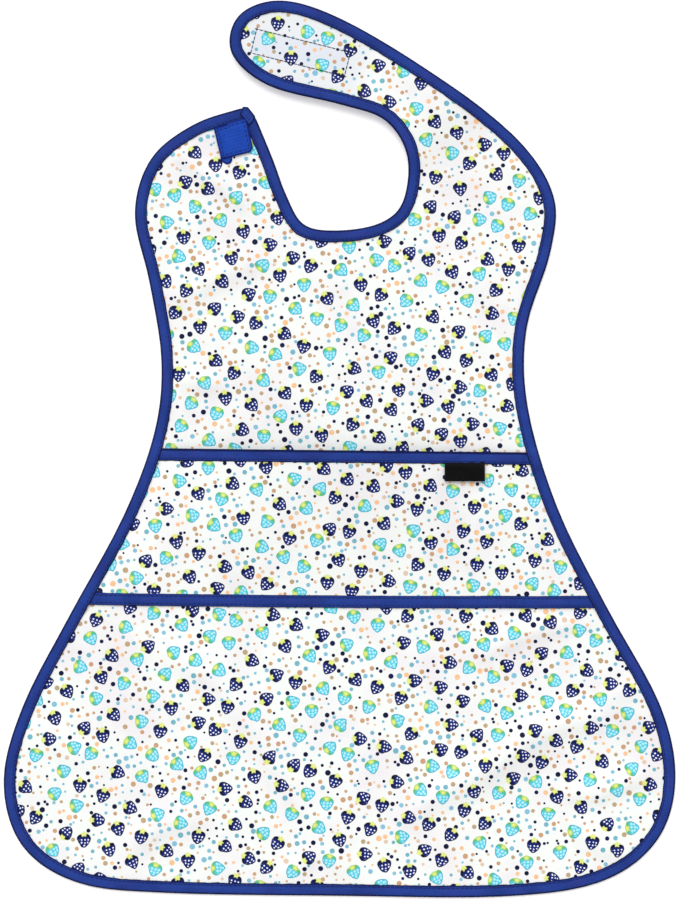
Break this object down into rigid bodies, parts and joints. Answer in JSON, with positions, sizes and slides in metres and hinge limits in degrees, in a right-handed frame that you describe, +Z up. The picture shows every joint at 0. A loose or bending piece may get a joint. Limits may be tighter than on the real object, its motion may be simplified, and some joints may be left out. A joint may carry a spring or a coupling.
{
  "type": "long-skirted baby bib",
  "caption": "Wipe-clean printed cloth bib with bound edges, a wide crumb pocket, a lap part that folds up and a neck strap that swings round to a hook-and-loop closure.",
  "frame": {"origin": "on the table under the middle of the bib's outline", "axes": "+Z up from the table through the printed face, +Y from the hem towards the neck strap, +X to the right as seen from above"},
  "size_m": [0.45, 0.6, 0.0123],
  "materials": {
    "printed_cloth": "smooth coated cloth with a small fruit-and-dot print",
    "edge_tape": "matt woven tape",
    "sewing_thread": "spun thread",
    "hook_tape": "moulded hooks on woven tape",
    "loop_tape": "brushed loops on woven tape",
    "label_cloth": "satin woven label, blank"
  },
  "bodies": {
    "front": {"front_panel": "printed_cloth", "left_side_binding": "edge_tape", "right_side_binding": "edge_tape", "neck_binding": "edge_tape", "binding_end_tuck": "edge_tape", "front_edge_stitching": "sewing_thread", "hook_patch": "hook_tape", "hook_patch_stitching": "sewing_thread", "pocket_bottom_tape": "edge_tape", "pocket_bottom_stitching": "sewing_thread"},
    "lap": {"lap_panel": "printed_cloth", "hem_binding": "edge_tape", "hem_stitching": "sewing_thread"},
    "pocket": {"pocket_panel": "printed_cloth", "pocket_mouth_binding": "edge_tape", "pocket_mouth_stitching": "sewing_thread"},
    "label_tab": {"label": "label_cloth"},
    "strap": {"strap_panel": "printed_cloth", "strap_binding": "edge_tape", "strap_stitching": "sewing_thread"},
    "strap_end": {"strap_end_panel": "printed_cloth", "strap_end_binding": "edge_tape", "strap_end_stitching": "sewing_thread", "loop_patch": "loop_tape", "loop_patch_stitching": "sewing_thread"}
  },
  "joints": [
    {"name": "lap_fold", "type": "hinge", "parent": "front", "child": "lap", "pos_m": [0, -0.11, 0.0022], "axis": [-1, 0, 0], "range_deg": [0, 140]},
    {"name": "pocket_gape", "type": "hinge", "parent": "front", "child": "pocket", "pos_m": [0, -0.0966, 0.0016], "axis": [1, 0, 0], "range_deg": [0, 10]},
    {"name": "label_flip", "type": "hinge", "parent": "pocket", "child": "label_tab", "pos_m": [0.08356, -0.01028, 0.00815], "axis": [-0.9961, 0, 0.0884], "range_deg": [0, 90]},
    {"name": "strap_close", "type": "hinge", "parent": "front", "child": "strap", "pos_m": [0.067, 0.2, 0.005], "axis": [0, 0, 1], "range_deg": [0, 28]},
    {"name": "strap_end_lift", "type": "hinge", "parent": "strap", "child": "strap_end", "pos_m": [0.02, 0.249, 0.00625], "axis": [0.3907, 0.9205, 0], "range_deg": [0, 120]}
  ]
}
